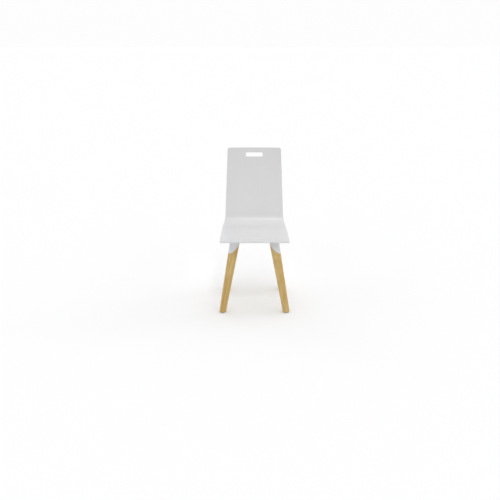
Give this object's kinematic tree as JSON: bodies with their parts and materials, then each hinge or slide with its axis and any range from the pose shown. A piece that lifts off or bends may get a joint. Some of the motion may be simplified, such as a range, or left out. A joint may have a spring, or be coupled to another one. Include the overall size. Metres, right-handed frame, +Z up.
{
  "type": "dining chair",
  "caption": "High-backed dining chair: bent white plywood seat and back in one piece with a hand slot, on splayed tapered wooden legs with white tops.",
  "frame": {"origin": "on the floor, under the middle of the chair's overall box", "axes": "+Z up, -Y towards the front of the seat, +X to the right when the chair is seen from the front"},
  "size_m": [0.4242, 0.512, 0.9182],
  "materials": {
    "shell_lacquer": "bent beech plywood under satin white lacquer, edges lacquered too",
    "knuckle_coat": "cast, fine white powder coat, satin",
    "frame_coat": "fine white powder coat, satin",
    "leg_wood": "turned beech, clear matt oil",
    "screw_zinc": "bright zinc plate",
    "nail_steel": "bright steel",
    "insert_brass": "plain turned",
    "end_cap": "moulded, white, fine matt texture",
    "spacer_nylon": "moulded, grey",
    "glide_nylon": "moulded, warm grey"
  },
  "bodies": {
    "root": {"seat_shell": "shell_lacquer", "left_side_rail": "frame_coat", "left_rail_front_cap": "end_cap", "left_rail_rear_cap": "end_cap", "right_side_rail": "frame_coat", "right_rail_front_cap": "end_cap", "right_rail_rear_cap": "end_cap", "front_cross_rail": "frame_coat", "rear_cross_rail": "frame_coat", "front_left_leg": "leg_wood", "front_left_knuckle": "knuckle_coat", "front_left_leg_screw": "screw_zinc", "front_left_knuckle_screw_1": "screw_zinc", "front_left_knuckle_screw_2": "screw_zinc", "front_left_seat_screw": "screw_zinc", "front_left_spacer": "spacer_nylon", "front_left_insert": "insert_brass", "front_left_glide": "glide_nylon", "front_left_glide_nail": "nail_steel", "front_right_leg": "leg_wood", "front_right_knuckle": "knuckle_coat", "front_right_leg_screw": "screw_zinc", "front_right_knuckle_screw_1": "screw_zinc", "front_right_knuckle_screw_2": "screw_zinc", "front_right_seat_screw": "screw_zinc", "front_right_spacer": "spacer_nylon", "front_right_insert": "insert_brass", "front_right_glide": "glide_nylon", "front_right_glide_nail": "nail_steel", "rear_left_leg": "leg_wood", "rear_left_knuckle": "knuckle_coat", "rear_left_leg_screw": "screw_zinc", "rear_left_knuckle_screw_1": "screw_zinc", "rear_left_knuckle_screw_2": "screw_zinc", "rear_left_seat_screw": "screw_zinc", "rear_left_spacer": "spacer_nylon", "rear_left_insert": "insert_brass", "rear_left_glide": "glide_nylon", "rear_left_glide_nail": "nail_steel", "rear_right_leg": "leg_wood", "rear_right_knuckle": "knuckle_coat", "rear_right_leg_screw": "screw_zinc", "rear_right_knuckle_screw_1": "screw_zinc", "rear_right_knuckle_screw_2": "screw_zinc", "rear_right_seat_screw": "screw_zinc", "rear_right_spacer": "spacer_nylon", "rear_right_insert": "insert_brass", "rear_right_glide": "glide_nylon", "rear_right_glide_nail": "nail_steel"}
  },
  "joints": []
}
